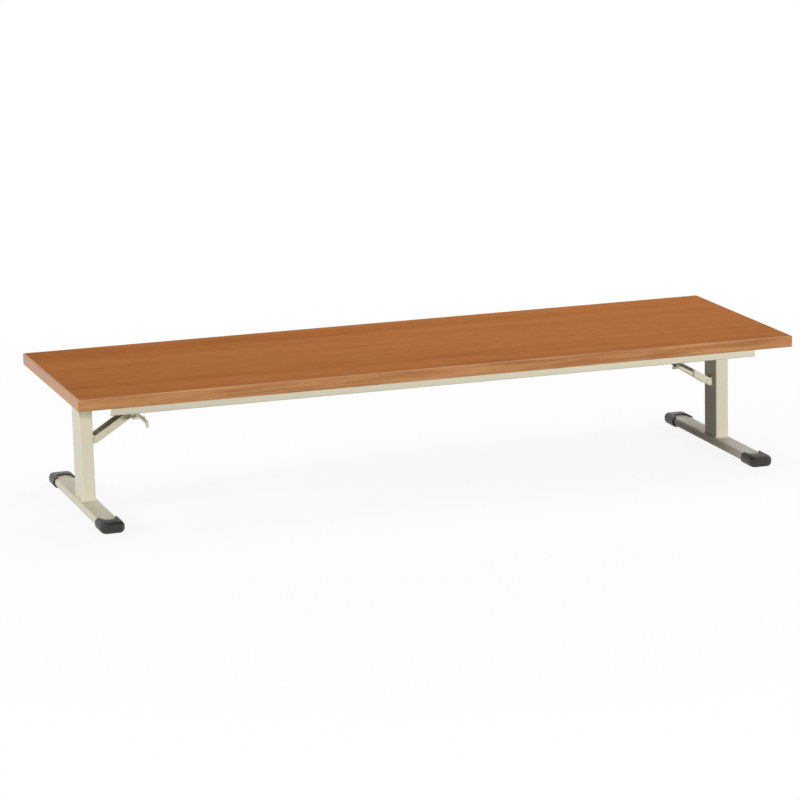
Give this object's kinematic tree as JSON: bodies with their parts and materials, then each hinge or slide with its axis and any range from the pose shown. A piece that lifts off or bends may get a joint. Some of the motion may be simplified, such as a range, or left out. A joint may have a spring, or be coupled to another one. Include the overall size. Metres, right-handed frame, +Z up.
{
  "type": "folding low table",
  "caption": "Long low table with a woodgrain flush-panel top and cream steel T-legs that fold flat under it on hinged stays.",
  "frame": {"origin": "on the floor under the centre of the table top, with the legs open", "axes": "+X along the table's length, -Y towards its long front side, +Z up"},
  "size_m": [1.8, 0.6, 0.33],
  "materials": {
    "woodgrain_laminate": "satin woodgrain laminate",
    "woodgrain_edge": "satin woodgrain edge strip",
    "backing_sheet": "plain matt backing sheet",
    "core_timber": "sawn softwood",
    "honeycomb_paper": "raw paper honeycomb",
    "cream_enamel": "semi-gloss baked enamel",
    "black_plastic": "moulded, lightly textured",
    "zinc_plate": "bright zinc plate",
    "spring_steel": "blued spring steel"
  },
  "bodies": {
    "frame": {"top_laminate": "woodgrain_laminate", "underside_backer": "backing_sheet", "core_stile_front": "core_timber", "core_stile_rear": "core_timber", "core_ribs": "core_timber", "honeycomb_fill": "honeycomb_paper", "edge_band_front": "woodgrain_edge", "edge_band_rear": "woodgrain_edge", "edge_band_left": "woodgrain_edge", "edge_band_right": "woodgrain_edge", "front_rail": "cream_enamel", "rear_rail": "cream_enamel", "rail_screws": "zinc_plate", "core_bearer_left": "core_timber", "hinge_bracket_left": "cream_enamel", "bracket_screws_left": "zinc_plate", "pivot_pin_left": "cream_enamel", "pin_clip_left": "spring_steel", "keeper_bracket_left": "cream_enamel", "keeper_screws_left": "zinc_plate", "catch_spring_left": "spring_steel", "core_bearer_right": "core_timber", "hinge_bracket_right": "cream_enamel", "bracket_screws_right": "zinc_plate", "pivot_pin_right": "cream_enamel", "pin_clip_right": "spring_steel", "keeper_bracket_right": "cream_enamel", "keeper_screws_right": "zinc_plate", "catch_spring_right": "spring_steel"},
    "leg_left": {"pivot_sleeve_left": "zinc_plate", "leg_post_left": "cream_enamel", "foot_bar_left": "cream_enamel", "foot_cap_rear_left": "black_plastic", "foot_cap_front_left": "black_plastic", "stay_lug_left": "cream_enamel", "stay_pin_left": "cream_enamel"},
    "stay_left": {"fold_stay_left": "cream_enamel", "release_bar_left": "cream_enamel"},
    "leg_right": {"pivot_sleeve_right": "zinc_plate", "leg_post_right": "cream_enamel", "foot_bar_right": "cream_enamel", "foot_cap_rear_right": "black_plastic", "foot_cap_front_right": "black_plastic", "stay_lug_right": "cream_enamel", "stay_pin_right": "cream_enamel"},
    "stay_right": {"fold_stay_right": "cream_enamel", "release_bar_right": "cream_enamel"}
  },
  "joints": [
    {"name": "leg_fold_left", "type": "hinge", "parent": "frame", "child": "leg_left", "pos_m": [-0.825, 0, 0.244], "axis": [0, -1, 0], "range_deg": [0, 90], "deforming": ["catch_spring_left"]},
    {"name": "stay_swing_left", "type": "hinge", "parent": "leg_left", "child": "stay_left", "pos_m": [-0.797, 0, 0.169], "axis": [0, 1, 0], "range_deg": [0, 113.33]},
    {"name": "leg_fold_right", "type": "hinge", "parent": "frame", "child": "leg_right", "pos_m": [0.825, 0, 0.244], "axis": [0, 1, 0], "range_deg": [0, 90], "deforming": ["catch_spring_right"]},
    {"name": "stay_swing_right", "type": "hinge", "parent": "leg_right", "child": "stay_right", "pos_m": [0.797, 0, 0.169], "axis": [0, -1, 0], "range_deg": [0, 113.33]}
  ],
  "couplings": [
    {"joint": "stay_swing_left", "follows": "leg_fold_left", "ratio": 1.2586},
    {"joint": "stay_swing_right", "follows": "leg_fold_right", "ratio": 1.2586}
  ]
}
